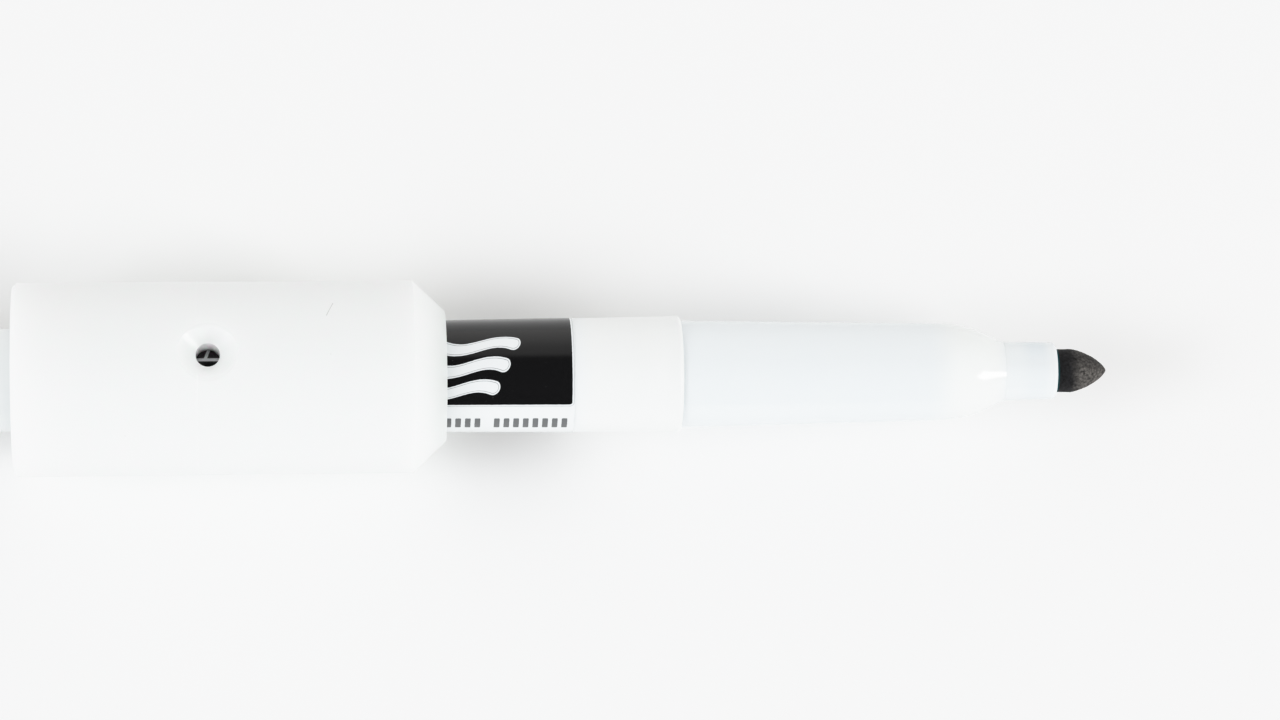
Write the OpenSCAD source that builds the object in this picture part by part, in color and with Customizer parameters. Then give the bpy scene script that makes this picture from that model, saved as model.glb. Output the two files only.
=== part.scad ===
// Felt tip marker pushed through a turned plastic sleeve, with its cap posted on its tail.
// It lies on the sleeve, which rests on the ground.
// Every piece is turned about one axis that runs along +X, towards the nib.
// A station is a distance along that axis from the tail of the barrel.
// A profile is a list of [radius, station].

/* [Barrel] */
// Length of the barrel, from its tail to its lip
barrel_len = 88.75; // [84:0.05:94]
// Diameter of the barrel at its tail
barrel_tail_d = 9.62; // [9.5:0.02:9.7]
// Diameter of the barrel at its lip, before the bead
barrel_lip_d = 11.48; // [11.4:0.02:11.5]
// Diameter of the bead round the lip
bead_d = 11.6; // [11.52:0.02:11.64]
// Diameter of the hollow that holds the ink reservoir
barrel_bore_d = 8.4; // [8.2:0.1:8.5]

/* [Front section] */
// Length that shows, from the barrel's lip to the mouth of the nose
front_len = 37.4; // [36:0.1:39]
// Length of the spigot inside the barrel
spigot_len = 9; // [7:0.5:10]
// Diameter of the spigot
spigot_d = 10; // [9.8:0.1:10.1]
// Diameter where the section leaves the barrel
front_d = 10.62; // [10.5:0.02:10.66]
// Diameter where the shoulder begins
shoulder_d = 9.65; // [9.5:0.05:9.7]
// Length of the shoulder
shoulder_len = 6.3; // [6.2:0.05:6.4]
// Diameter of the nose tube
nose_d = 5.76; // [5.7:0.02:5.8]
// Length of the nose tube
nose_len = 5.25; // [5:0.05:6]

/* [Nib] */
// Diameter of the nib
nib_d = 4.28; // [4.1:0.02:4.3]
// Length of nib in front of the nose
nib_show = 5.08; // [4.7:0.02:5.5]
// Length of the bullet point
nib_point = 3.6; // [3:0.02:3.8]
// Length of the whole nib
nib_len = 27; // [24:0.5:30]

/* [Reservoir] */
// Diameter of the fibre reservoir
reservoir_d = 7.6; // [7.2:0.1:7.7]
// Length of the fibre reservoir
reservoir_len = 102; // [95:0.5:104]
// Thickness of the film round the fibre
film_t = 0.12; // [0.1:0.01:0.13]

/* [Label] */
// Length of the printed label
label_len = 52; // [45:0.5:56]
// Gap between the label and the barrel's lip
label_to_lip = 10.74; // [10.6:0.02:14]
// Thickness of the label
label_t = 0.03; // [0.03:0.005:0.05]

/* [Sleeve] */
// Diameter of the sleeve behind the turning step
sleeve_d = 19.05; // [19:0.05:20]
// Diameter of the sleeve in front of the turning step
sleeve_front_d = 19; // [18.7:0.02:19.02]
// Length of the sleeve
sleeve_len = 42.4; // [40:0.1:45]
// Diameter of the sleeve's bore
sleeve_bore_d = 11.54; // [11.54:0.02:12]
// Distance of the sleeve's back face from the barrel's tail
sleeve_at = 23.05; // [21:0.05:24]
// Length of the chamfer at the front of the sleeve
chamfer_len = 3.2; // [2.8:0.1:3.4]
// Depth of that chamfer, measured along the radius
chamfer_depth = 3.05; // [2.4:0.05:3.1]
// Distance of the turning step from the back face
step_at = 18.05; // [16:0.05:20]
// Distance of the screw hole from the back face
hole_at = 19.1; // [18:0.1:22]
// Diameter of the screw hole
hole_d = 2.38; // [2.1:0.02:3]
// Diameter of the countersink at the surface
countersink_d = 5.95; // [5.5:0.05:6.5]
// Angle of the countersink, from side to side
countersink_angle = 100; // [82:1:120]

/* [Cap] */
// Length of the cap
cap_len = 46.5; // [46:0.1:48]
// Diameter of the cap at its mouth
cap_d = 12; // [11.9:0.05:12.2]
// Diameter of the cap at its closed end
cap_end_d = 11.5; // [11.2:0.05:11.7]
// Length of the tail that the posted cap covers
cap_posted = 15; // [12:0.5:18]
// Number of grip flutes
flute_count = 24; // [12:2:28]
// Number of crush ribs inside the mouth
crush_rib_count = 6; // [3:1:8]
// Number of air vents through the closed end
vent_count = 4; // [3:1:6]

/* [Hidden] */

fit_gap = 0.03;      // radial gap between pieces that are pushed together
edge_break = 0.3;    // small chamfer that takes off a sharp edge
smooth = 96;         // sides of a round
arc_steps = 10;      // straight pieces in a rounded profile
past = 1;            // how far a cut runs beyond the material

nib_tip = barrel_len + front_len + nib_show;
mouth = barrel_len + front_len;
shoulder_end = mouth - nose_len;
shoulder_start = shoulder_end - shoulder_len;

lip_recess = 0.9;    // how far the front section's own shoulder sits inside the lip
recess_gap = 0.04;
spigot_start = barrel_len - spigot_len;
snap_at = barrel_len - spigot_len / 2;
snap_h = 0.15;
snap_w = 0.8;

front_bore_r = 4.05;
front_wall = 0.4;    // length of solid plastic between the reservoir and the shoulder's start
reservoir_front = shoulder_start - front_wall;
reservoir_back = reservoir_front - reservoir_len;
film_r = reservoir_d / 2 + 0.02;
nib_back = nib_tip - nib_len;
nib_bore_r = nib_d / 2 + fit_gap;
vent_groove = [0.5, 0.35]; // width and depth of the air grooves beside the nib

plug_flange = 1;
plug_spigot = 7;
plug_wall = 0.9;
plug_skin = 1.2;     // thickness of the plug's closed end
fin_w = 0.8;
fin_count = 4;
rib_w = 0.5;

cap_mouth = cap_posted;
cap_back = cap_mouth - cap_len;
cap_bore_r = 5.25;
cap_seat_r = 4.93;   // narrower bore that holds the liner
cap_seat_at = 27.5;  // its distance from the cap's mouth
cap_end_wall = 1.5;
crush = [1.5, 6.5];  // where the crush ribs start, from the cap's mouth, and how long they are
crush_r = barrel_r(cap_posted - crush[0]) + 0.015; // radius of the circle inside the crush ribs
liner_pocket_r = 3.2;
liner_wall = 0.55;

axis_z = sleeve_d / 2;
middle = (nib_tip + cap_back) / 2;
deep = 200;          // longer than any cut needs

function lerp(a, b, u) = a + (b - a) * u;
function barrel_r(s) = lerp(barrel_tail_d, barrel_lip_d, s / barrel_len) / 2;

// Points of an arc about centre [r, s], from one angle to another; 0 degrees points out along the radius.
function arc(centre, radius, from, to, steps = arc_steps) =
    [for (i = [0:steps]) let (a = lerp(from, to, i / steps)) centre + radius * [cos(a), sin(a)]];

// Radius of the bullet point at a share u of its length.
function point_r(u) = nib_d / 2 * pow(max(0, 1 - pow(u, 1.5)), 0.7);

// Places a piece that is drawn with stations along Z onto the marker's axis.
module on_axis() translate([-middle, 0, axis_z]) rotate([0, 90, 0]) children();

// Turns a closed profile of [radius, station].
module turned(profile) rotate_extrude($fn = smooth) polygon(profile);

// Repeats a shape evenly round the axis.
module round_axis(count, phase = 0)
    for (i = [0:count - 1])
        rotate([0, 0, phase + i * 360 / count]) children();

module barrel() {
    bead_r = bead_d / 2;
    corner = 0.45;
    flare_at = barrel_len - 1.7;
    bore_r = barrel_bore_d / 2;
    socket_r = spigot_d / 2 + fit_gap;
    recess_r = front_d / 2 + recess_gap;
    rib_reach = reservoir_d / 2 + film_t + 0.08;
    profile = concat(
        [[bore_r, 0], [barrel_r(0) - edge_break, 0]],
        [[barrel_r(0), edge_break], [barrel_r(flare_at), flare_at]],
        arc([bead_r - corner, barrel_len - corner], corner, 0, 80, 6),
        [[recess_r, barrel_len], [recess_r, barrel_len - lip_recess], [socket_r, barrel_len - lip_recess]],
        [[socket_r, snap_at + snap_w], [socket_r + snap_h, snap_at + snap_w / 2]],
        [[socket_r + snap_h, snap_at - snap_w / 2], [socket_r, snap_at - snap_w]],
        [[socket_r, spigot_start - fit_gap], [bore_r, spigot_start - fit_gap]]
    );
    color([0.95, 0.96, 0.955]) on_axis() union() {
        turned(profile);
        round_axis(4, 45)
            translate([rib_reach, -rib_w / 2, reservoir_back])
                cube([bore_r - rib_reach + 0.3, rib_w, spigot_start - reservoir_back - past]);
    }
}

module front_section() {
    spigot_r = spigot_d / 2;
    front_r = front_d / 2;
    nose_r = nose_d / 2;
    nose_corner = 0.48;
    shoulder_r = shoulder_d / 2;
    turn_r = 11;       // radius of the curve that leads into the shoulder
    turn_from = 1;     // slope of the section, in degrees, where that curve starts
    turn_to = 26;      // slope of the shoulder's cone
    turn_len = turn_r * (sin(turn_to) - sin(turn_from));
    turn_drop = turn_r * (cos(turn_from) - cos(turn_to));
    cone_r = shoulder_r - turn_drop - (shoulder_len - turn_len) * tan(turn_to);
    funnel = 1.6;      // length of the cone between the reservoir and the nib's bore
    funnel_r = nib_bore_r + 0.7;
    outside = concat(
        [[spigot_r - edge_break, spigot_start], [spigot_r, spigot_start + edge_break]],
        [[spigot_r, snap_at - snap_w], [spigot_r + snap_h - fit_gap, snap_at - snap_w / 4]],
        [[spigot_r + snap_h - fit_gap, snap_at + snap_w / 4], [spigot_r, snap_at + snap_w * 0.9]],
        [[spigot_r, barrel_len - lip_recess + fit_gap], [front_r, barrel_len - lip_recess + fit_gap]],
        [for (i = [0:arc_steps]) let (a = lerp(turn_from, turn_to, i / arc_steps)) [
            shoulder_r - turn_r * (cos(turn_from) - cos(a)),
            shoulder_start + turn_r * (sin(a) - sin(turn_from)),
        ]],
        [[cone_r, shoulder_end], [nose_r + 0.05, shoulder_end + 0.12]],
        [[nose_r - 0.03, mouth - nose_corner * 2]],
        arc([nose_r - 0.03 - nose_corner, mouth - nose_corner], nose_corner, 10, 90, 6)
    );
    inside = [
        [nib_bore_r, mouth], [nib_bore_r, reservoir_front + funnel + 0.8],
        [funnel_r, reservoir_front + funnel], [front_bore_r, reservoir_front + 0.1],
        [front_bore_r, spigot_start],
    ];
    color([0.93, 0.945, 0.95]) on_axis() difference() {
        turned(concat(outside, inside));
        round_axis(4)
            translate([0, -vent_groove[0] / 2, reservoir_front])
                cube([nib_bore_r + vent_groove[1], vent_groove[0], mouth - reservoir_front - 0.6]);
    }
}

module nib() {
    nib_r = nib_d / 2;
    point_at = nib_tip - nib_point;
    steps = 16;
    profile = concat(
        [[0, nib_back], [nib_r - 0.4, nib_back], [nib_r, nib_back + 0.5]],
        [for (i = [0:steps - 1]) let (u = 1 - pow(1 - i / steps, 1.6))
            [point_r(u), point_at + u * nib_point]],
        [[0, nib_tip]]
    );
    color([0.16, 0.16, 0.16]) on_axis() turned(profile);
}

module reservoir_core() {
    core_r = reservoir_d / 2;
    socket_r = nib_d / 2 + 0.02;
    socket_end = nib_back - 0.2;
    color([0.08, 0.08, 0.1]) on_axis() turned([
        [0, reservoir_back], [core_r, reservoir_back], [core_r, reservoir_front],
        [socket_r, reservoir_front], [socket_r, socket_end], [0, socket_end],
    ]);
}

module reservoir_film() {
    color([0.8, 0.83, 0.86]) on_axis() turned([
        [film_r, reservoir_back], [film_r + film_t, reservoir_back],
        [film_r + film_t, reservoir_front], [film_r, reservoir_front],
    ]);
}

module tail_plug() {
    flange_r = barrel_tail_d / 2 - 0.3;
    spigot_r = barrel_bore_d / 2 - fit_gap;
    hollow_r = spigot_r - plug_wall;
    dimple_r = 1.6;
    post_r = 1.2;
    post_end = reservoir_back - 0.2;
    color([0.1, 0.1, 0.11]) on_axis() union() {
        turned([
            [0, -plug_flange + 0.3], [dimple_r, -plug_flange + 0.3], [dimple_r + 0.3, -plug_flange],
            [flange_r - edge_break, -plug_flange], [flange_r, -plug_flange + edge_break], [flange_r, 0],
            [spigot_r, 0], [spigot_r, plug_spigot - edge_break], [spigot_r - edge_break, plug_spigot],
            [hollow_r, plug_spigot], [hollow_r, plug_skin], [0, plug_skin],
        ]);
        translate([0, 0, plug_skin - 0.2]) cylinder(r = post_r, h = post_end - plug_skin + 0.2, $fn = 48);
        round_axis(fin_count, 45)
            translate([0, -fin_w / 2, plug_skin - 0.2])
                cube([hollow_r + 0.2, fin_w, plug_spigot - plug_skin]);
        round_axis(fin_count, 45)
            translate([0, -fin_w / 2, plug_skin])
                cube([hollow_r - 0.3, fin_w, post_end - plug_skin]);
    }
}

module printed_label() {
    under = 0.01; // glue line
    label_end = barrel_len - label_to_lip;
    label_start = label_end - label_len;
    inner = [for (s = [label_start, label_end]) barrel_r(s) + under];
    color([0.07, 0.07, 0.08]) on_axis() turned([
        [inner[0], label_start], [inner[0] + label_t, label_start],
        [inner[1] + label_t, label_end], [inner[1], label_end],
    ]);
}

module adapter_sleeve() {
    back_r = sleeve_d / 2;
    land_r = sleeve_front_d / 2;
    bore_r = sleeve_bore_d / 2;
    front = sleeve_at + sleeve_len;
    sink_r = countersink_d / 2;
    hole_r = hole_d / 2;
    sink_slope = tan(countersink_angle / 2);
    sink_depth = (sink_r - hole_r) / sink_slope;
    rim = 0.4;
    color([0.955, 0.96, 0.95]) on_axis() difference() {
        turned([
            [bore_r + edge_break, sleeve_at], [back_r - rim, sleeve_at], [back_r, sleeve_at + rim],
            [back_r, sleeve_at + step_at], [land_r, sleeve_at + step_at + 0.05],
            [land_r, front - chamfer_len], [land_r - chamfer_depth, front], [bore_r + 0.2, front],
            [bore_r, front - 0.2], [bore_r, sleeve_at + edge_break],
        ]);
        translate([0, 0, sleeve_at + hole_at]) rotate([0, -90, 0]) {
            cylinder(r = hole_r, h = back_r + past, $fn = 64);
            translate([0, 0, land_r - sink_depth])
                cylinder(r1 = hole_r, r2 = sink_r + past * sink_slope, h = sink_depth + past, $fn = 64);
        }
    }
}

// The cap's pieces are drawn with stations that run from its mouth towards its closed end.
module in_cap() on_axis() translate([0, 0, cap_mouth]) mirror([0, 0, 1]) children();

module cap_shell() {
    mouth_r = cap_d / 2;
    end_r = cap_end_d / 2;
    corner = 1;
    mouth_round = 0.25;
    seat_end = cap_len - cap_end_wall;
    flute = [1.6, 11]; // where the flutes start and how long they are
    flute_r = 0.55;
    flute_depth = 0.22;
    dish_r = 2.6;
    profile = concat(
        [[cap_bore_r + mouth_round, 0], [mouth_r - mouth_round, 0], [mouth_r, mouth_round]],
        arc([end_r - corner, cap_len - corner], corner, 0, 90, 8),
        [[dish_r, cap_len], [dish_r - 0.5, cap_len - 0.5], [0, cap_len - 0.5]],
        [[0, seat_end], [cap_seat_r, seat_end], [cap_seat_r, cap_seat_at]],
        [[cap_bore_r - 0.05, cap_seat_at - 0.3], [cap_bore_r, mouth_round]]
    );
    color([0.06, 0.06, 0.065]) in_cap() difference() {
        union() {
            turned(profile);
            round_axis(crush_rib_count, 15)
                translate([crush_r, -0.3, crush[0]]) cube([cap_bore_r - crush_r + 0.2, 0.6, crush[1]]);
        }
        round_axis(flute_count)
            translate([mouth_r + flute_r - flute_depth, 0, flute[0]])
                cylinder(r = flute_r, h = flute[1], $fn = 24);
        round_axis(vent_count)
            translate([4.25, 0, seat_end - past]) cylinder(r = 0.4, h = cap_end_wall + 2 * past, $fn = 32);
    }
}

module cap_liner() {
    flange_r = cap_seat_r - fit_gap;
    body_r = liner_pocket_r + liner_wall;
    start = cap_seat_at + 0.5;
    funnel = 2.5;
    pocket_end = 44;
    end = cap_len - cap_end_wall - 0.02;
    color([0.88, 0.9, 0.9]) in_cap() turned([
        [flange_r - 0.5, start], [flange_r, start], [flange_r, start + 1.6], [body_r, start + 2.2],
        [body_r, end], [0, end], [0, pocket_end], [liner_pocket_r - 0.4, pocket_end],
        [liner_pocket_r, pocket_end - 0.4], [liner_pocket_r, start + funnel],
    ]);
}

barrel();
front_section();
nib();
reservoir_core();
reservoir_film();
tail_plug();
printed_label();
adapter_sleeve();
cap_shell();
cap_liner();
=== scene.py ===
"""Looks of a felt tip marker that lies in a turned plastic sleeve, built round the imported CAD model."""

import math

import bpy
from mathutils import Matrix, Vector, noise


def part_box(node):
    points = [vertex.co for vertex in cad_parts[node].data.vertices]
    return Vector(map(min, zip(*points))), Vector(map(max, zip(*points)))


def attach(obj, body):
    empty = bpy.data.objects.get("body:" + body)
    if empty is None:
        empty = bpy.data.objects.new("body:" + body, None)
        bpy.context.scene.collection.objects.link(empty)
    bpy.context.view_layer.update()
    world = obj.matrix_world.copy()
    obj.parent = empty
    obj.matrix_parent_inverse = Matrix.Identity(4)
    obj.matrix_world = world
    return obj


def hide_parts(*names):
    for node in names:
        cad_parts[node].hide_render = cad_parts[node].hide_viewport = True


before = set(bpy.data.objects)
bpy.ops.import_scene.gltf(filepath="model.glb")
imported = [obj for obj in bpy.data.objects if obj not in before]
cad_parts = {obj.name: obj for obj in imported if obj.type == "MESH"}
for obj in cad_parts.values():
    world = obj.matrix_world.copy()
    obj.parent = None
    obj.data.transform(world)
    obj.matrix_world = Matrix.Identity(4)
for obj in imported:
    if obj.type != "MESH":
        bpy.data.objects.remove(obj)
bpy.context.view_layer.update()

MM = 0.001
TAU = 2 * math.pi

# ---------------------------------------------------------------- places, measured on the frame

sleeve_lo, sleeve_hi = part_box("adapter_sleeve")
barrel_lo, barrel_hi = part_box("barrel")
front_lo, front_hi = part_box("front_section")
nib_lo, nib_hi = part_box("nib")
label_lo, label_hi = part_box("printed_label")
core_lo, core_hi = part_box("reservoir_core")

AXIS_Z = (barrel_lo.z + barrel_hi.z) / 2
SLEEVE_R = (sleeve_hi.z - sleeve_lo.z) / 2
LABEL_R = (label_hi.z - label_lo.z) / 2
NIB_R = (nib_hi.z - nib_lo.z) / 2
MOUTH_X = front_hi.x
SPIGOT_X = front_lo.x
LABEL_END_X = label_hi.x
LABEL_MIDDLE_X = (label_hi.x + label_lo.x) / 2
LABEL_HALF = (label_hi.x - label_lo.x) / 2

# The sleeve's cross hole, its countersink, and the fine step on its outside, as the CAD has them.
HOLE_X = sleeve_lo.x + 19.1 * MM
HOLE_R = 1.19 * MM
SINK_R = 2.975 * MM
STEP_X = sleeve_lo.x + 18.05 * MM

# ---------------------------------------------------------------- camera

VIEW_ELEVATION = math.radians(73.5)
VIEW_YAW = math.radians(4.04)
VIEW_ROLL = math.radians(0.52)
VIEW_DISTANCE = 0.566
CAMERA_X = sleeve_lo.x + 21.75 * MM
TARGET_RISE = 1.43 * MM
SENSOR_W = 36.0
LENS = 161.2


def add_camera():
    """Looks down on the marker from in front, above the middle of the sleeve, and turned a little right."""
    data = bpy.data.cameras.new("camera")
    data.sensor_width = SENSOR_W
    data.lens = LENS
    data.clip_start = 0.01
    camera = bpy.data.objects.new("camera", data)
    bpy.context.scene.collection.objects.link(camera)
    bpy.context.scene.camera = camera
    foot = Vector((CAMERA_X, 0, AXIS_Z))
    back = Vector((0, -math.cos(VIEW_ELEVATION), math.sin(VIEW_ELEVATION)))
    up = Vector((0, math.sin(VIEW_ELEVATION), math.cos(VIEW_ELEVATION)))
    eye = foot + VIEW_DISTANCE * back
    target = foot + Vector((VIEW_DISTANCE * math.tan(VIEW_YAW), 0, 0)) + TARGET_RISE * up
    z_axis = (eye - target).normalized()
    x_axis = up.cross(z_axis).normalized()
    y_axis = z_axis.cross(x_axis)
    turn = Matrix((x_axis, y_axis, z_axis)).transposed() @ Matrix.Rotation(-VIEW_ROLL, 3, "Z")
    camera.matrix_world = Matrix.Translation(eye) @ turn.to_4x4()


# ---------------------------------------------------------------- node recipes


class Num:
    """A number that differs from point to point: a node's output that can be written into a formula."""

    def __init__(self, recipe, socket):
        self.recipe = recipe
        self.socket = socket

    def _math(self, operation, *operands):
        return self.recipe.math(operation, *operands)

    def __add__(self, other):
        return self._math("ADD", self, other)

    __radd__ = __add__

    def __mul__(self, other):
        return self._math("MULTIPLY", self, other)

    __rmul__ = __mul__

    def __sub__(self, other):
        return self._math("SUBTRACT", self, other)

    def __rsub__(self, other):
        return self._math("SUBTRACT", other, self)

    def __truediv__(self, other):
        return self._math("DIVIDE", self, other)

    def __abs__(self):
        return self._math("ABSOLUTE", self)


class Recipe:
    """The nodes of one material or world. Lengths are in metres, in the frame's own axes."""

    def __init__(self, owner, coordinates="Object"):
        owner.use_nodes = True
        self.owner = owner
        self.tree = owner.node_tree
        self.place = self.node("ShaderNodeTexCoord").outputs[coordinates]
        split = self.node("ShaderNodeSeparateXYZ")
        self.tree.links.new(self.place, split.inputs[0])
        self.x = Num(self, split.outputs["X"])
        self.y = Num(self, split.outputs["Y"])
        self.z = Num(self, split.outputs["Z"])

    def node(self, kind, **settings):
        made = self.tree.nodes.new(kind)
        for name, value in settings.items():
            setattr(made, name, value)
        return made

    def feed(self, socket, value):
        """Joins a socket to a Num, or sets it to a plain value."""
        if isinstance(value, Num):
            self.tree.links.new(value.socket, socket)
        else:
            socket.default_value = value

    def math(self, operation, *operands):
        made = self.node("ShaderNodeMath", operation=operation)
        for socket, value in zip(made.inputs, operands):
            self.feed(socket, value)
        return Num(self, made.outputs[0])

    def larger(self, a, b):
        return self.math("MAXIMUM", a, b)

    def smaller(self, a, b):
        return self.math("MINIMUM", a, b)

    def wave(self, a, pitch):
        """A sine of a distance, once round in each pitch."""
        return self.math("SINE", a * (TAU / pitch))

    def length(self, a, b):
        return self.math("SQRT", a * a + b * b)

    def clamp(self, a, low, high):
        return self.smaller(self.larger(a, low), high)

    def off_segment(self, a, b, start, end):
        """Distance of the point (a, b) from a straight stretch between two points."""
        run, rise = end[0] - start[0], end[1] - start[1]
        da, db = a - start[0], b - start[1]
        share = self.clamp((da * run + db * rise) / (run * run + rise * rise), 0.0, 1.0)
        return self.length(da - share * run, db - share * rise)

    def ramp(self, value, low, high, from_value=0.0, to_value=1.0):
        """Goes smoothly from from_value at low to to_value at high."""
        made = self.node("ShaderNodeMapRange", interpolation_type="SMOOTHSTEP")
        for name, fed in (
            ("Value", value),
            ("From Min", low),
            ("From Max", high),
            ("To Min", from_value),
            ("To Max", to_value),
        ):
            self.feed(made.inputs[name], fed)
        return Num(self, made.outputs["Result"])

    def inside(self, distance, edge):
        """1 where a signed distance is below 0, and 0 where it is above, with an edge of that width."""
        return self.ramp(distance, -edge / 2, edge / 2, 1.0, 0.0)

    def stretched(self, along, across):
        """The place, scaled along the marker's axis and across it, for textures that run one way."""
        made = self.node("ShaderNodeMapping")
        made.inputs["Scale"].default_value = (along, across, across)
        self.tree.links.new(self.place, made.inputs["Vector"])
        return Num(self, made.outputs[0])

    def noise(self, size, detail=2.0, roughness=0.5, place=None):
        """Noise about 0, from about -0.5 to 0.5, with features of about that size in metres."""
        made = self.node("ShaderNodeTexNoise")
        self.feed(made.inputs["Vector"], place or Num(self, self.place))
        made.inputs["Scale"].default_value = 1 / size
        made.inputs["Detail"].default_value = detail
        made.inputs["Roughness"].default_value = roughness
        return Num(self, made.outputs["Fac"]) - 0.5

    def cells(self, size):
        """Distance to the nearest of many scattered points, as a share of their spacing."""
        made = self.node("ShaderNodeTexVoronoi")
        self.feed(made.inputs["Vector"], Num(self, self.place))
        made.inputs["Scale"].default_value = 1 / size
        return Num(self, made.outputs["Distance"])

    def angle(self, zero):
        """Angle round the marker's axis, in radians. Zero is an angle from the top towards the front."""
        front = self.y * -1.0
        up = self.z - AXIS_Z
        cos, sin = math.cos(zero), math.sin(zero)
        return self.math("ARCTAN2", front * cos - up * sin, up * cos + front * sin)

    def feed_colour(self, socket, colour):
        """Joins a socket to a Num, or sets it to an opaque colour."""
        self.feed(socket, (*colour, 1.0) if isinstance(colour, tuple) else colour)

    def blend(self, share, first, second):
        """Mixes two colours, each a tuple or a Num."""
        made = self.node("ShaderNodeMix", data_type="RGBA")
        factor, colour_a, colour_b = made.inputs[0], made.inputs[6], made.inputs[7]
        self.feed(factor, share)
        self.feed_colour(colour_a, first)
        self.feed_colour(colour_b, second)
        return Num(self, made.outputs[2])

    def shade(self, colour, share):
        """A colour made lighter or darker by a share that differs from point to point."""
        made = self.node("ShaderNodeHueSaturation")
        self.feed_colour(made.inputs["Color"], colour)
        self.feed(made.inputs["Value"], share)
        return Num(self, made.outputs[0])

    def mottle(self, colour, size, share, detail=3.0):
        """A colour in soft patches of about that size, lighter and darker by up to half the share."""
        return self.shade(colour, 1.0 + self.noise(size, detail) * share)

    def finish(self, colour, roughness, height=None, **plain):
        """Feeds the shader. height is in metres, and plain sets sockets that are the same all over."""
        shader = self.tree.nodes["Principled BSDF"]
        self.feed_colour(shader.inputs["Base Color"], colour)
        self.feed(shader.inputs["Roughness"], roughness)
        if height is not None:
            bump = self.node("ShaderNodeBump")
            bump.inputs["Distance"].default_value = 1.0
            self.feed(bump.inputs["Height"], height)
            self.tree.links.new(bump.outputs[0], shader.inputs["Normal"])
        for name, value in plain.items():
            shader.inputs[name.replace("_", " ")].default_value = value
        return self.owner


def surface(name):
    """The recipe of a new material."""
    return Recipe(bpy.data.materials.new(name))


def dress(piece, material):
    """Gives a piece one material, and no other."""
    piece.data.materials.clear()
    piece.data.materials.append(material)


# ---------------------------------------------------------------- materials

# The marker's white plastic, bare and with something dark or nothing behind it.
WHITE = (0.92, 0.945, 0.93)
BLUISH = (0.815, 0.87, 0.90)
HOLLOW = (0.885, 0.915, 0.90)
# Close to the mouth: the nib showing through, with a painted dark reflection on top of it.
NIB_AND_PAINTED_REFLECTION = (0.735, 0.80, 0.84)

# The sleeve: most of it, the painted glow of light through its back end and into the wall of its hole, and
# the dirt in its scratch and specks.
MILKY = (0.91, 0.95, 0.925)
BACK_END_PAINTED_GLOW = (0.975, 0.972, 0.955)
HOLE_WALL_PAINTED_GLOW = (0.965, 0.957, 0.95)
DIRT = (0.12, 0.12, 0.09)

PAPER = (0.85, 0.885, 0.90)
PRINT_BLACK = (0.005, 0.005, 0.0055)
PLASTIC_BLACK = (0.011, 0.011, 0.012)
FIBRE_WET = (0.011, 0.011, 0.012)
FIBRE_DRY = (0.105, 0.098, 0.091)
INK_TEAL = (0.008, 0.075, 0.085)
RESERVOIR = (0.016, 0.016, 0.02)
FILM = (0.30, 0.33, 0.37)
LINER = (0.70, 0.72, 0.72)

# How far light spreads in the marker's thin white plastic.
THIN_MILK = {"Subsurface_Radius": (1.0, 1.0, 0.97), "Subsurface_Scale": 1.2 * MM}


def barrel_colour(recipe):
    """White, with a bluish tint where the dark reservoir lies behind a single wall."""
    behind = recipe.ramp(recipe.x, SPIGOT_X - 1.5 * MM, SPIGOT_X + 0.5 * MM, 1.0, 0.0)
    cloud = recipe.noise(9 * MM, 2.0)
    return recipe.blend(behind * (0.42 + 0.2 * cloud), WHITE, BLUISH)


def moulded_height(recipe):
    """Faint ripple and fine grain of a moulded surface."""
    return recipe.noise(2.2 * MM, 2.0) * 2.4e-6 + recipe.noise(0.16 * MM, 3.0) * 0.5e-6


def barrel_material():
    """The barrel: satin white plastic, faintly rippled."""
    recipe = surface("white_moulded_plastic")
    colour = recipe.mottle(barrel_colour(recipe), 1.5 * MM, 0.012)
    rough = 0.30 + recipe.noise(0.9 * MM, 3.0) * 0.10
    return recipe.finish(colour, rough, moulded_height(recipe), Subsurface_Weight=0.25, IOR=1.49, **THIN_MILK)


def front_material():
    """Bluish over the reservoir and the nib, whiter where the nose is hollow, darkest close to the mouth,
    where the nib shows through and a painted dark reflection darkens the back side most.
    """
    recipe = surface("bluish_moulded_plastic")
    over_core = recipe.ramp(recipe.x, core_hi.x - 1.5 * MM, core_hi.x + 2.5 * MM, 1.0, 0.0)
    over_nib = recipe.ramp(recipe.x, MOUTH_X - 6.5 * MM, MOUTH_X - 4.5 * MM, 0.0, 1.0)
    tint = recipe.larger(over_core, over_nib * 0.9)
    cloud = recipe.noise(7 * MM, 2.0)
    colour = recipe.blend(tint * (0.85 + 0.3 * cloud), HOLLOW, BLUISH)
    # Partly the nib showing through the wall, partly a painted dark reflection, strongest on the back side.
    nib_and_painted_reflection = recipe.ramp(recipe.x, MOUTH_X - 4.2 * MM, MOUTH_X - 2.4 * MM)
    nib_and_painted_reflection = nib_and_painted_reflection * recipe.ramp(recipe.x, MOUTH_X - 1.6 * MM, MOUTH_X - 0.6 * MM, 1.0, 0.0)
    nib_and_painted_reflection = nib_and_painted_reflection * recipe.ramp(recipe.y, -0.5 * MM, 2.3 * MM, 0.35, 1.0)
    colour = recipe.blend(nib_and_painted_reflection, colour, NIB_AND_PAINTED_REFLECTION)
    colour = recipe.mottle(colour, 1.2 * MM, 0.012)
    rough = 0.10 + recipe.noise(0.8 * MM, 3.0) * 0.05
    return recipe.finish(colour, rough, moulded_height(recipe), Subsurface_Weight=0.25, IOR=1.49, **THIN_MILK)


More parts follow.
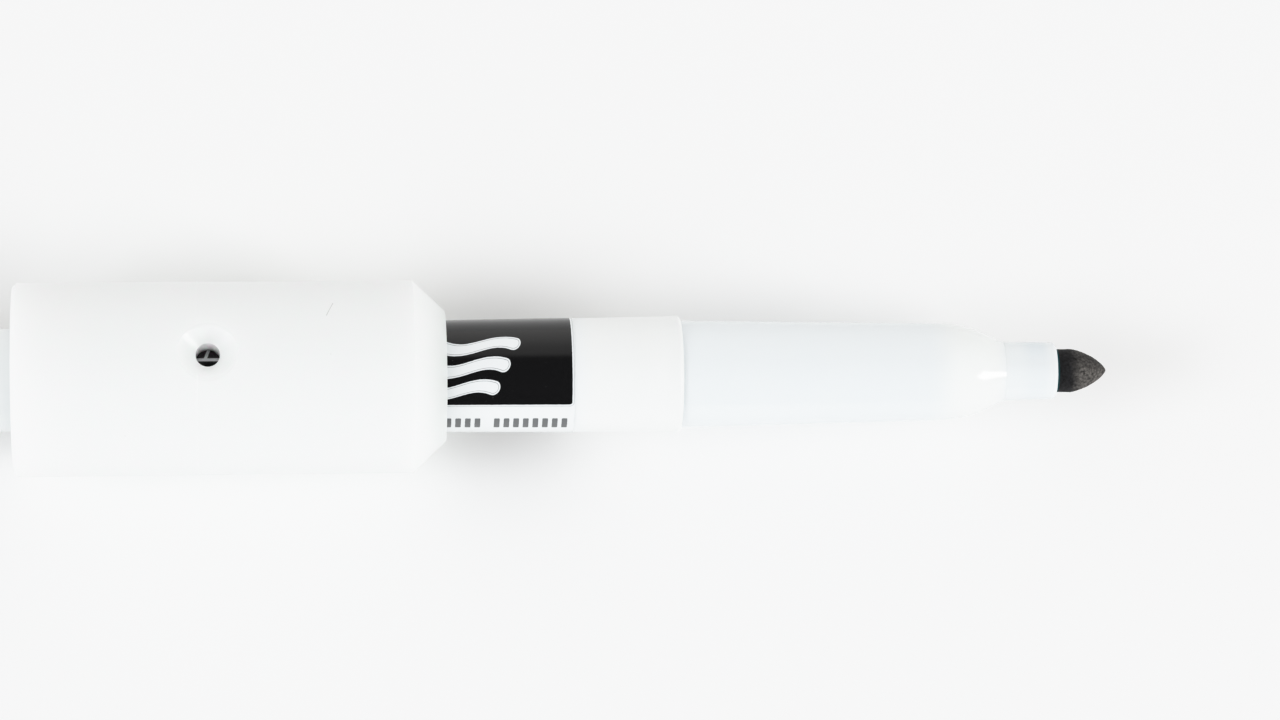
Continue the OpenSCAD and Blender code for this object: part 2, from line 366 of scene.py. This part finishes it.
def sleeve_material():
    """Milky plastic with tool lines round it, faint streaks along it, a scratch and a few specks, and a
    painted highlight along the turned step.

    The back end is painted lighter and warmer, as painted light glowing through it. The countersink is
    smoother, with fine rings round it, and the hole's wall is painted whiter, as painted light glowing
    through the plastic.
    """
    recipe = surface("milky_turned_plastic")
    scratch_x = sleeve_lo.x + 31 * MM
    scratch_from_top = math.radians(-28)
    scratch_start = (-0.35 * MM, -0.85 * MM)
    scratch_end = (0.3 * MM, 0.8 * MM)
    round_it = recipe.noise(0.22 * MM, 3.0, 0.6, recipe.stretched(1.0, 0.004))
    along_it = recipe.noise(1.1 * MM, 3.0, 0.5, recipe.stretched(0.03, 1.0))
    tool_feed = recipe.wave(recipe.x, 0.13 * MM)
    cloud = recipe.noise(11 * MM, 2.0)
    # Painted light: the back end is painted lighter and warmer, standing in for the key light glowing through
    # the plastic.
    back_end_painted_glow = recipe.ramp(recipe.x + cloud * 3 * MM, sleeve_lo.x - 1 * MM, sleeve_lo.x + 9 * MM, 1.0, 0.0)
    colour = recipe.blend(back_end_painted_glow, MILKY, BACK_END_PAINTED_GLOW)
    colour = recipe.shade(colour, 1.0 + cloud * 0.02 + along_it * 0.012 + round_it * 0.006)
    up = recipe.angle(scratch_from_top) * -SLEEVE_R
    scratch = recipe.off_segment(recipe.x - scratch_x, up, scratch_start, scratch_end)
    scratch = recipe.inside(scratch - 0.03 * MM + recipe.noise(0.3 * MM) * (0.04 * MM), 0.05 * MM)
    # Painted highlight: a lighter line round the sleeve at the turned step.
    step_painted_highlight = recipe.inside(abs(recipe.x - STEP_X) - 0.05 * MM, 0.08 * MM)
    specks = recipe.inside(recipe.cells(3.2 * MM) - 0.015, 0.01)
    colour = recipe.blend(recipe.larger(scratch * 0.6, specks * 0.35), colour, DIRT)
    colour = recipe.shade(colour, 1.0 + step_painted_highlight * 0.015)
    off_hole = recipe.length(recipe.x - HOLE_X, recipe.y)
    above = recipe.ramp(recipe.z, AXIS_Z, AXIS_Z + 2 * MM)
    cut = recipe.inside(off_hole - SINK_R, 0.1 * MM) * above
    # Painted light: the hole's wall is painted whiter, standing in for light glowing through the plastic into
    # the hole.
    wall = recipe.inside(off_hole - HOLE_R - 0.15 * MM, 0.3 * MM) * above
    colour = recipe.blend(wall, colour, HOLE_WALL_PAINTED_GLOW)
    burr = recipe.inside(abs(off_hole - SINK_R) - 0.05 * MM, 0.1 * MM)
    rough = 0.42 + round_it * 0.12 + recipe.noise(2 * MM, 3.0) * 0.08 - cut * 0.24
    turned = (round_it * 1.6e-6 + tool_feed * 0.25e-6 + along_it * 2.0e-6) * (1.0 - cut)
    bored = recipe.wave(off_hole, 0.17 * MM) * cut
    height = turned + bored * 0.3e-6 + burr * 6e-6
    return recipe.finish(
        colour,
        rough,
        height,
        Subsurface_Weight=1.0,
        Subsurface_Radius=(1.0, 0.85, 0.93),
        Subsurface_Scale=5.0 * MM,
        IOR=1.48,
    )


# The label is laid out by angle round the marker, from the top towards the front, and by place along it.
STRIPE_MIDDLE = math.radians(76.3)
STRIPE_HALF = math.radians(29)
PANEL_CORNER = 0.3 * MM
PANEL_MARGIN = 0.25 * MM
PRINT_EDGE = 0.05 * MM


def panel_distance(recipe, rag):
    """Signed distance from the black panel's edge: the panel is everything but a stripe along the front."""
    out_x = abs(recipe.x - LABEL_MIDDLE_X) - (LABEL_HALF - PANEL_MARGIN - PANEL_CORNER) + rag
    out_a = (STRIPE_HALF * LABEL_R + PANEL_CORNER) - abs(recipe.angle(STRIPE_MIDDLE) * LABEL_R) + rag
    return recipe.length(recipe.larger(out_x, 0.0), recipe.larger(out_a, 0.0)) - PANEL_CORNER


def wave_distance(recipe, rag):
    """Signed distance from three broad wavy strokes with round ends, one above the other."""
    pitch = 2.3 * MM
    stroke_half = 0.66 * MM
    half_run = 11 * MM
    set_back = 6.4 * MM
    lean = 0.45
    swing = 0.45 * MM
    wave = TAU / (7.8 * MM)
    up = recipe.angle(math.radians(8)) * -LABEL_R
    along = LABEL_END_X - set_back - recipe.x + lean * up
    rise = up - swing * recipe.math("SINE", along * wave)
    slope = recipe.math("COSINE", along * wave) * (swing * wave)
    across = abs(recipe.math("WRAP", rise, pitch / 2, -pitch / 2)) / recipe.length(slope, 1.0) + rag
    ends = abs(along - half_run) - (half_run - stroke_half)
    stroke = recipe.length(recipe.larger(across, 0.0), recipe.larger(ends, 0.0)) - stroke_half
    return recipe.larger(stroke, abs(rise) - 1.5 * pitch)


def rule_distance(recipe):
    """Signed distance from a thin rule, with slanted hatch marks above it, that runs under the cross hole."""
    half_line = 0.165 * MM
    half_run = 7.5 * MM
    hatch_pitch = 4.6 * MM
    hatch_height = 1.5 * MM
    hatch_shift = 0.3 * MM
    hatch_lean = 0.35
    well_past = 10 * hatch_pitch
    up = recipe.angle(math.radians(-3.6)) * -LABEL_R
    hatch_at = recipe.x - HOLE_X + hatch_shift - hatch_lean * up
    hatch = abs(recipe.math("PINGPONG", hatch_at + well_past, hatch_pitch / 2)) - half_line
    hatch = recipe.larger(hatch, abs(up - hatch_height / 2) - hatch_height / 2)
    line = recipe.smaller(abs(up) - half_line, hatch)
    return recipe.larger(line, abs(recipe.x - HOLE_X) - half_run)


def tick_distance(recipe, rag):
    """Signed distance from a row of plain ticks in the stripe, in groups."""
    pitch = 0.95 * MM
    ticks = 8
    group = (ticks + 1) * pitch
    margin = 0.5 * MM
    tick_half = 0.29 * MM
    row_half = 0.85 * MM
    round_off = 0.12 * MM
    from_end = LABEL_END_X - margin - recipe.x
    off_x = recipe.math("PINGPONG", from_end - pitch / 2, pitch / 2) - (tick_half - round_off)
    off_a = abs(recipe.angle(math.radians(73.5)) * LABEL_R) - (row_half - round_off)
    tick = recipe.length(recipe.larger(off_x, 0.0), recipe.larger(off_a, 0.0)) - round_off + rag
    gap = recipe.math("MODULO", from_end, group) - ticks * pitch
    ends = abs(recipe.x - LABEL_MIDDLE_X) - (LABEL_HALF - margin)
    return recipe.larger(recipe.larger(tick, gap), ends)


def label_material():
    """Black print that leaves a white stripe, with broad white waves, a hatched rule and plain ticks."""
    recipe = surface("printed_label")
    rag = recipe.noise(0.22 * MM, 3.0, 0.6) * (0.07 * MM)
    panel = panel_distance(recipe, rag)
    outline = abs(panel - 0.17 * MM) - 0.028 * MM
    strokes = wave_distance(recipe, rag)
    keyline = abs(strokes + 0.16 * MM) - 0.03 * MM
    white = recipe.inside(strokes, PRINT_EDGE) * (1.0 - 0.7 * recipe.inside(keyline, PRINT_EDGE))
    white = recipe.larger(white, recipe.inside(rule_distance(recipe), PRINT_EDGE))
    marks = recipe.larger(
        recipe.inside(tick_distance(recipe, rag), PRINT_EDGE) * 0.85,
        recipe.inside(outline, PRINT_EDGE) * 0.55,
    )
    ink = recipe.larger(recipe.inside(panel, PRINT_EDGE) * (1.0 - white), marks)
    speck = recipe.inside(recipe.cells(0.55 * MM) - 0.028, 0.02)
    ink = ink * (1.0 - speck * 0.35)
    black = recipe.mottle(PRINT_BLACK, 0.3 * MM, 0.5)
    colour = recipe.blend(ink, PAPER, black)
    rough = 0.15 + ink * 0.03 + recipe.noise(0.5 * MM, 3.0) * 0.05
    height = moulded_height(recipe) + ink * 1.2e-6
    return recipe.finish(colour, rough, height, IOR=1.5)


def nib_material():
    """Bonded fibres soaked in ink: dark at the root, greyer and mottled where the tip has dried.

    A rim of ink has dried teal at the mouth.
    """
    recipe = surface("inked_fibre")
    grain = recipe.noise(0.24 * MM, 4.0, 0.75)
    streak = recipe.noise(0.16 * MM, 3.0, 0.6, recipe.stretched(0.35, 1.0))
    patch = recipe.noise(1.1 * MM, 3.0, 0.6)
    flecks = 0.45 - recipe.cells(0.3 * MM)
    dry = recipe.ramp(recipe.x + patch * 1.8 * MM, nib_hi.x - 3.9 * MM, nib_hi.x - 2.5 * MM)
    dry = dry * recipe.ramp(recipe.y + patch * 1.2 * MM, -1.0 * MM, 0.9 * MM, 1.0, 0.42)
    colour = recipe.blend(dry, FIBRE_WET, FIBRE_DRY)
    colour = recipe.shade(colour, 1.0 + grain * 3.2 + streak * 1.2 + flecks * 1.1)
    rim = recipe.ramp(recipe.x, MOUTH_X + 0.1 * MM, MOUTH_X + 0.28 * MM, 1.0, 0.0)
    colour = recipe.blend(rim * 0.85, colour, INK_TEAL)
    rough = 0.62 + grain * 0.3
    height = grain * 50e-6 + streak * 14e-6 + flecks * 16e-6
    return recipe.finish(colour, rough, height, IOR=1.35, Specular_IOR_Level=0.3)


def black_plastic_material():
    """The cap and the tail plug: glossy, with faint scuffs along them."""
    recipe = surface("black_moulded_plastic")
    colour = recipe.mottle(PLASTIC_BLACK, 5 * MM, 0.25, 2.0)
    scuff = recipe.noise(0.25 * MM, 3.0, 0.6, recipe.stretched(0.15, 1.0))
    rough = 0.22 + recipe.noise(4 * MM, 2.0) * 0.06 + scuff * 0.03
    height = moulded_height(recipe) * 0.5 + scuff * 0.15e-6
    return recipe.finish(colour, rough, height, IOR=1.5)


def fibre_material():
    """The reservoir: dull strands that run along it."""
    recipe = surface("inked_reservoir_fibre")
    strand = recipe.noise(0.09 * MM, 3.0, 0.6, recipe.stretched(0.02, 1.0))
    colour = recipe.shade(RESERVOIR, 1.0 + strand * 1.2)
    return recipe.finish(colour, 0.8 + strand * 0.2, strand * 20e-6, IOR=1.4)


def film_material():
    """Shiny film with the dark reservoir behind it, creased along its length."""
    recipe = surface("clear_film")
    crease = recipe.noise(1.6 * MM, 3.0, 0.5, recipe.stretched(0.2, 1.0))
    colour = recipe.shade(FILM, 1.0 + crease * 0.3)
    return recipe.finish(colour, 0.14 + crease * 0.1, crease * 8e-6, IOR=1.55)


def liner_material():
    """Soft uncoloured plastic inside the cap."""
    recipe = surface("natural_soft_plastic")
    colour = recipe.mottle(LINER, 1.5 * MM, 0.05)
    rough = 0.45 + recipe.noise(0.6 * MM, 3.0) * 0.12
    return recipe.finish(colour, rough, moulded_height(recipe), Subsurface_Weight=0.3, **THIN_MILK)


MATERIALS = {
    "barrel": barrel_material(),
    "front_section": front_material(),
    "adapter_sleeve": sleeve_material(),
    "printed_label": label_material(),
    "nib": nib_material(),
    "tail_plug": black_plastic_material(),
    "reservoir_core": fibre_material(),
    "reservoir_film": film_material(),
    "cap_liner": liner_material(),
}
MATERIALS["cap_shell"] = MATERIALS["tail_plug"]
for node_name, node_material in MATERIALS.items():
    dress(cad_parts[node_name], node_material)

# ---------------------------------------------------------------- the nib, as felt

NIB_POINT = 3.6 * MM
NIB_BACK_CHAMFER = (0.5 * MM, 0.4 * MM)
POINT_RINGS = 64
SHANK_RINGS = 22
NIB_SIDES = 180

# At a share u of the point's length, its radius is (1 - u ** BELLY) ** BLUNTNESS of the shank's.
BELLY = 1.5
BLUNTNESS = 0.7
CROWDING = 1.5


def felt_dent(place, out_of_mouth):
    """How far the felt stands out from a true turned shape, or in from it where below 0.

    Fibre ends make small pits, and use has left broad lumps. Both fade out towards the mouth.
    """
    pit_size, pit_depth = 0.24 * MM, 0.026 * MM
    lump_size, lump_depth = 0.8 * MM, 0.03 * MM
    wear = 0.012 * MM
    fade_length = 0.6 * MM
    pits = noise.fractal(place / pit_size, 0.7, 2.0, 3) * pit_depth
    lumps = noise.noise(place / lump_size) * lump_depth
    fade = min(1.0, max(0.0, out_of_mouth / fade_length))
    return (pits + lumps - wear) * fade


def nib_outline():
    """Stations along the marker, with the radius at each, from the nib's back to just before its tip.

    The rings of the point crowd together towards the tip.
    """
    point_x = nib_hi.x - NIB_POINT
    chamfer_length, chamfer_depth = NIB_BACK_CHAMFER
    outline = [(nib_lo.x, NIB_R - chamfer_depth), (nib_lo.x + chamfer_length, NIB_R)]
    for ring in range(SHANK_RINGS):
        outline.append((MOUTH_X + (point_x - MOUTH_X) * ring / SHANK_RINGS, NIB_R))
    for ring in range(POINT_RINGS):
        u = 1 - (1 - ring / POINT_RINGS) ** CROWDING
        outline.append((point_x + u * NIB_POINT, NIB_R * (1 - u**BELLY) ** BLUNTNESS))
    return outline


def add_nib():
    """Stands for the CAD nib: the same turned shape, with a fibrous surface where it shows."""
    outline = nib_outline()
    points = [Vector((nib_lo.x, 0, AXIS_Z))]
    for x, radius in outline:
        for side in range(NIB_SIDES):
            turn = TAU * side / NIB_SIDES
            out = Vector((0, math.cos(turn), math.sin(turn)))
            dent = felt_dent(Vector((x, 0, 0)) + radius * out, x - MOUTH_X)
            points.append(Vector((x, 0, AXIS_Z)) + (radius + dent * radius / NIB_R) * out)
    points.append(Vector((nib_hi.x, 0, AXIS_Z)))
    faces = []
    last = len(points) - 1
    for side in range(NIB_SIDES):
        beside = (side + 1) % NIB_SIDES
        faces.append((0, 1 + side, 1 + beside))
        faces.append((last, last - NIB_SIDES + beside, last - NIB_SIDES + side))
        for ring in range(len(outline) - 1):
            start = 1 + ring * NIB_SIDES
            faces.append((start + side, start + NIB_SIDES + side, start + NIB_SIDES + beside, start + beside))
    mesh = bpy.data.meshes.new("felt_nib")
    mesh.from_pydata(points, [], faces)
    mesh.shade_smooth()
    nib = bpy.data.objects.new("felt_nib", mesh)
    bpy.context.scene.collection.objects.link(nib)
    dress(nib, MATERIALS["nib"])
    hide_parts("nib")
    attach(nib, "marker")


add_nib()

# ---------------------------------------------------------------- stage and light

FLOOR_HALF = 3.0
FLOOR_COLOUR = (0.96, 0.96, 0.957)


def add_floor():
    """A plain pale floor with a faint mottle."""
    mesh = bpy.data.meshes.new("floor")
    corners = [(-FLOOR_HALF, -FLOOR_HALF, 0), (FLOOR_HALF, -FLOOR_HALF, 0)]
    corners += [(FLOOR_HALF, FLOOR_HALF, 0), (-FLOOR_HALF, FLOOR_HALF, 0)]
    mesh.from_pydata(corners, [], [(0, 1, 2, 3)])
    floor = bpy.data.objects.new("floor", mesh)
    bpy.context.scene.collection.objects.link(floor)
    recipe = surface("pale_floor")
    colour = recipe.mottle(FLOOR_COLOUR, 60 * MM, 0.01, 2.0)
    dress(floor, recipe.finish(colour, 0.9, Specular_IOR_Level=0.1))


def add_softbox(name, middle, size, watts, colour=(1.0, 1.0, 1.0)):
    """A rectangular soft lamp that faces the frame's origin."""
    data = bpy.data.lights.new(name, "AREA")
    data.shape = "RECTANGLE"
    data.size, data.size_y = size
    data.energy = watts
    data.color = colour
    lamp = bpy.data.objects.new(name, data)
    lamp.location = middle
    lamp.rotation_euler = (-Vector(middle)).to_track_quat("-Z", "Y").to_euler()
    bpy.context.scene.collection.objects.link(lamp)


SIDES_BRIGHT = 0.78
BACK_BRIGHT = 0.80
SLOT_BRIGHT = 0.04
COOL = (0.985, 0.99, 1.0)
WARM = (1.0, 0.99, 0.972)
KEY_COLOUR = (0.97, 1.0, 1.04)

# Where parts of the tent fade in or out, in the x or y of a direction of length 1.
SLOT_EDGE = (0.10, 0.32)
BACK_EDGE = (0.33, 0.48)
BACK_SIDES = (0.3, 0.5)


def add_room():
    """A white tent all round, with a dark slot for the camera that runs from overhead down to the front.

    The tent is cooler in front and warmer behind, and its sides are brighter towards the front.
    """
    world = bpy.data.worlds.new("room")
    bpy.context.scene.world = world
    recipe = Recipe(world, "Generated")
    sides = recipe.ramp(abs(recipe.x), *SLOT_EDGE) * (1.0 - 0.32 * recipe.y + 0.06 * recipe.x)
    back = recipe.ramp(recipe.y, *BACK_EDGE) * recipe.ramp(recipe.y, 0.6, 1.0, 0.7, 1.2)
    back = back * recipe.ramp(abs(recipe.x), *BACK_SIDES, 1.0, 0.0)
    background = recipe.tree.nodes["Background"]
    recipe.feed(background.inputs["Color"], recipe.blend(recipe.ramp(recipe.y, -0.6, 0.6), COOL, WARM))
    bright = recipe.larger(sides * SIDES_BRIGHT, back * BACK_BRIGHT)
    recipe.feed(background.inputs["Strength"], recipe.larger(bright, SLOT_BRIGHT))


TONE_CURVE = [(0.12, 0.137), (0.52, 0.67), (0.82, 0.90), (1.0, 0.955)]
BRIGHTEST = 1.6
COMBINED = 3


def set_tone():
    """A soft shoulder: the whites close up towards the top, as in a bright studio exposure."""
    settings = bpy.context.scene.view_settings
    settings.view_transform = "Standard"
    settings.use_curve_mapping = True
    mapping = settings.curve_mapping
    mapping.clip_max_x = BRIGHTEST
    curve = mapping.curves[COMBINED]
    curve.points[-1].location = (BRIGHTEST, 1.0)
    for value_in, value_out in TONE_CURVE:
        curve.points.new(value_in, value_out)
    mapping.update()


add_floor()
add_room()
set_tone()
add_softbox("key_softbox", (-1.10, -0.34, 0.79), (0.57, 0.57), 5.8, colour=KEY_COLOUR)
add_softbox("right_softbox", (1.25, -0.47, 0.74), (0.42, 0.40), 6.6)
add_camera()
